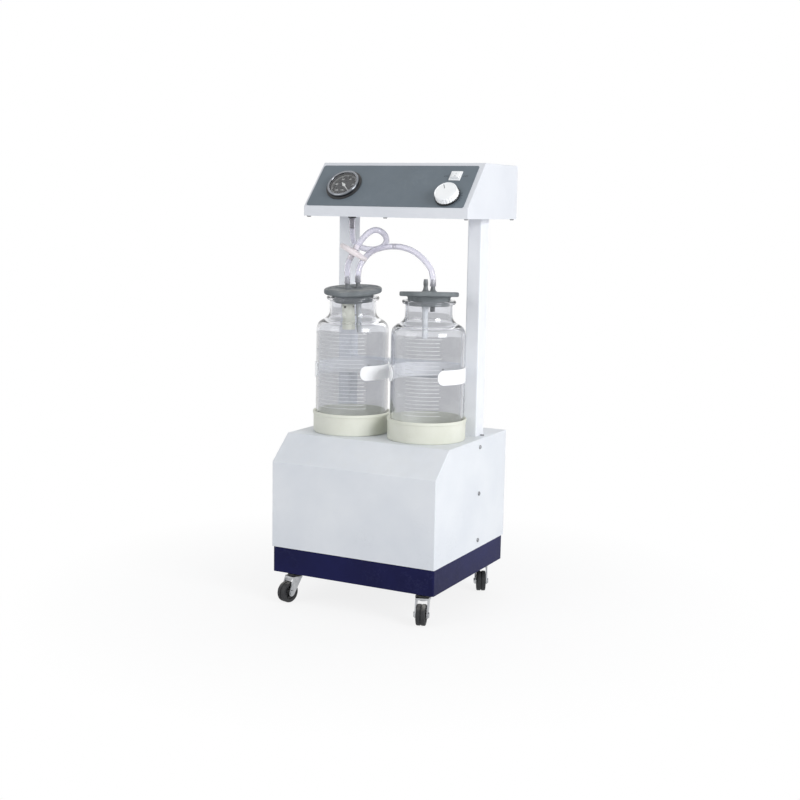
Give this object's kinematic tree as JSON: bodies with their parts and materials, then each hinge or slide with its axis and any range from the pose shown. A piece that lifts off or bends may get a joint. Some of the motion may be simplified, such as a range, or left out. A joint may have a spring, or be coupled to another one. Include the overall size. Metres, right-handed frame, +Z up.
{
  "type": "vacuum aspirator",
  "caption": "Mobile laboratory vacuum aspirator: pump housing on casters, two glass collecting jars with stoppers and hoses, and a raised control head with gauge, switch and regulator.",
  "frame": {"origin": "on the floor, under the middle of the unit's outline", "axes": "+Z up, +Y from the control panel to the back, +X to the right seen from the front"},
  "size_m": [0.3544, 0.3534, 0.8496],
  "materials": {
    "base_navy": "satin paint",
    "casing_grey": "fine textured powder coat",
    "panel_grey": "matt printed sheet",
    "column_grey": "satin paint",
    "zinc_steel": "zinc plated",
    "chrome": "polished",
    "clear_glass": "clear",
    "clear_hose": "clear soft plastic",
    "grey_rubber": "matt",
    "black_rubber": "matt",
    "wheel_black": "matt",
    "cream_plastic": "matt",
    "white_plastic": "gloss",
    "black_plastic": "matt",
    "grey_plastic": "matt",
    "cast_alloy": "cast",
    "brass": "machined",
    "dark_steel": "blackened"
  },
  "bodies": {
    "stand": {"base_tray": "base_navy", "casing_wrap": "casing_grey", "rear_cover": "casing_grey", "power_inlet": "black_plastic", "fuse_holder": "black_plastic", "inner_posts": "zinc_steel", "columns": "column_grey", "column_plugs": "cast_alloy", "column_bolts": "zinc_steel", "jar_seats": "cream_plastic", "jar_left": "clear_glass", "jar_right": "clear_glass", "clamp_bands": "casing_grey", "clamp_bar": "column_grey", "head_shell": "casing_grey", "head_plate": "casing_grey", "control_panel": "panel_grey", "gauge_case": "black_plastic", "gauge_bezel": "chrome", "gauge_lens": "clear_glass", "gauge_dial": "black_plastic", "gauge_movement": "brass", "switch_frame": "white_plastic", "regulator_valve": "brass", "vacuum_port": "black_plastic", "hose_port_to_filter": "clear_hose", "hose_jar_to_jar": "clear_hose", "vacuum_line": "clear_hose", "caster_rings": "black_rubber", "caster_kingpins": "zinc_steel", "pump_mount": "dark_steel", "motor_housing": "cast_alloy", "crankcases": "cast_alloy", "pump_cylinders": "cast_alloy", "pump_heads": "cast_alloy", "pan_head_screws": "dark_steel"},
    "left_stopper": {"stopper_left": "grey_rubber", "nozzles_left": "grey_plastic", "down_tube_left": "grey_rubber", "float_cage": "cream_plastic", "line_filter": "white_plastic", "hose_filter_to_jar": "clear_hose"},
    "right_stopper": {"stopper_right": "grey_rubber", "nozzles_right": "grey_plastic", "down_tube_right": "grey_rubber"},
    "valve_float": {"valve_float": "white_plastic"},
    "gauge_pointer": {"gauge_pointer": "white_plastic"},
    "switch_rocker": {"switch_rocker": "white_plastic"},
    "regulator_knob": {"regulator_knob": "white_plastic", "regulator_spindle": "zinc_steel"},
    "pump_rotor": {"pump_shaft": "dark_steel", "pump_fans": "black_plastic"},
    "caster_fork_front_left": {"caster_fork_front_left": "zinc_steel"},
    "caster_wheel_front_left": {"caster_wheel_front_left": "wheel_black"},
    "caster_fork_front_right": {"caster_fork_front_right": "zinc_steel"},
    "caster_wheel_front_right": {"caster_wheel_front_right": "wheel_black"},
    "caster_fork_rear_left": {"caster_fork_rear_left": "zinc_steel"},
    "caster_wheel_rear_left": {"caster_wheel_rear_left": "wheel_black"},
    "caster_fork_rear_right": {"caster_fork_rear_right": "zinc_steel"},
    "caster_wheel_rear_right": {"caster_wheel_rear_right": "wheel_black"}
  },
  "joints": [
    {"name": "left_stopper_lift", "type": "slide", "parent": "stand", "child": "left_stopper", "axis": [0.0017, -0.0975, 0.9952], "range_m": [0, 0.012], "deforming": ["hose_port_to_filter", "hose_jar_to_jar"]},
    {"name": "right_stopper_lift", "type": "slide", "parent": "stand", "child": "right_stopper", "axis": [-0.0322, 0.0618, 0.9976], "range_m": [0, 0.012], "deforming": ["hose_jar_to_jar"]},
    {"name": "float_rise", "type": "slide", "parent": "left_stopper", "child": "valve_float", "axis": [0.0017, -0.0975, 0.9952], "range_m": [0, 0.01]},
    {"name": "gauge_pointer_turn", "type": "hinge", "parent": "stand", "child": "gauge_pointer", "pos_m": [-0.1052, -0.02086, 0.80373], "axis": [0, -0.7402, 0.6724], "range_deg": [0, 270]},
    {"name": "switch_rock", "type": "hinge", "parent": "stand", "child": "switch_rocker", "pos_m": [0.1247, -0.00429, 0.82421], "axis": [1, 0, 0], "range_deg": [0, 18]},
    {"name": "regulator_turn", "type": "hinge", "parent": "stand", "child": "regulator_knob", "pos_m": [0.1255, -0.03801, 0.78486], "axis": [0, -0.7402, 0.6724], "range_deg": [-150, 150]},
    {"name": "pump_spin", "type": "hinge", "parent": "stand", "child": "pump_rotor", "pos_m": [0, -0.005, 0.1415], "axis": [1, 0, 0], "continuous": true},
    {"name": "swivel_front_left", "type": "hinge", "parent": "stand", "child": "caster_fork_front_left", "pos_m": [-0.14, -0.137, 0.055], "axis": [0, 0, 1], "continuous": true},
    {"name": "roll_front_left", "type": "hinge", "parent": "caster_fork_front_left", "child": "caster_wheel_front_left", "pos_m": [-0.14492, -0.15535, 0.02], "axis": [-0.9659, 0.2588, 0], "continuous": true},
    {"name": "swivel_front_right", "type": "hinge", "parent": "stand", "child": "caster_fork_front_right", "pos_m": [0.14, -0.137, 0.055], "axis": [0, 0, 1], "continuous": true},
    {"name": "roll_front_right", "type": "hinge", "parent": "caster_fork_front_right", "child": "caster_wheel_front_right", "pos_m": [0.14587, -0.15507, 0.02], "axis": [-0.9511, -0.309, 0], "continuous": true},
    {"name": "swivel_rear_left", "type": "hinge", "parent": "stand", "child": "caster_fork_rear_left", "pos_m": [-0.14, 0.127, 0.055], "axis": [0, 0, 1], "continuous": true},
    {"name": "roll_rear_left", "type": "hinge", "parent": "caster_fork_rear_left", "child": "caster_wheel_rear_left", "pos_m": [-0.1291, 0.11144, 0.02], "axis": [-0.8192, -0.5736, 0], "continuous": true},
    {"name": "swivel_rear_right", "type": "hinge", "parent": "stand", "child": "caster_fork_rear_right", "pos_m": [0.14, 0.127, 0.055], "axis": [0, 0, 1], "continuous": true},
    {"name": "roll_rear_right", "type": "hinge", "parent": "caster_fork_rear_right", "child": "caster_wheel_rear_right", "pos_m": [0.14863, 0.11007, 0.02], "axis": [-0.891, -0.454, 0], "continuous": true}
  ]
}
